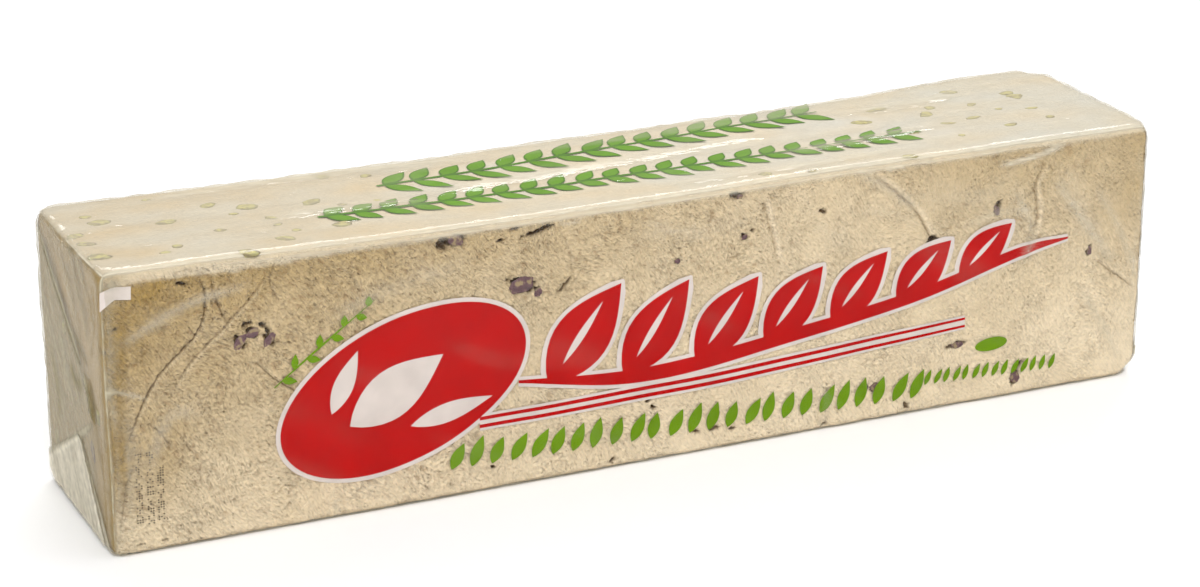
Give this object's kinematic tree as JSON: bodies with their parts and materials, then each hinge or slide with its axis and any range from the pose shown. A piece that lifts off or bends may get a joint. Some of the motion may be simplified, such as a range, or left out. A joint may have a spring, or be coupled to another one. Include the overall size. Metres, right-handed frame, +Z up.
{
  "type": "sesame halva block",
  "caption": "Long pressed bar of cream sesame halva with pistachio pieces, sealed in tight clear film folded flat at both ends; it stands on a narrow long side.",
  "frame": {"origin": "middle of the block's base, at the centre of its own box", "axes": "+X along the block, +Y across it from the front side to the back side, +Z up"},
  "size_m": [0.446, 0.088, 0.1133],
  "materials": {
    "film_over_halva": "clear glossy film seen over matte cream halva",
    "halva": "matte, finely porous, cream",
    "pistachio": "matte nut, purple-brown skin over green flesh",
    "clear_film": "clear, glossy, wrinkled",
    "red_ink": "opaque print under glossy film",
    "white_ink": "opaque print under glossy film",
    "green_ink": "print under glossy film",
    "dark_ink": "fine dots of dark ink"
  },
  "bodies": {
    "root": {"wrapped_block": "film_over_halva"}
  },
  "joints": []
}
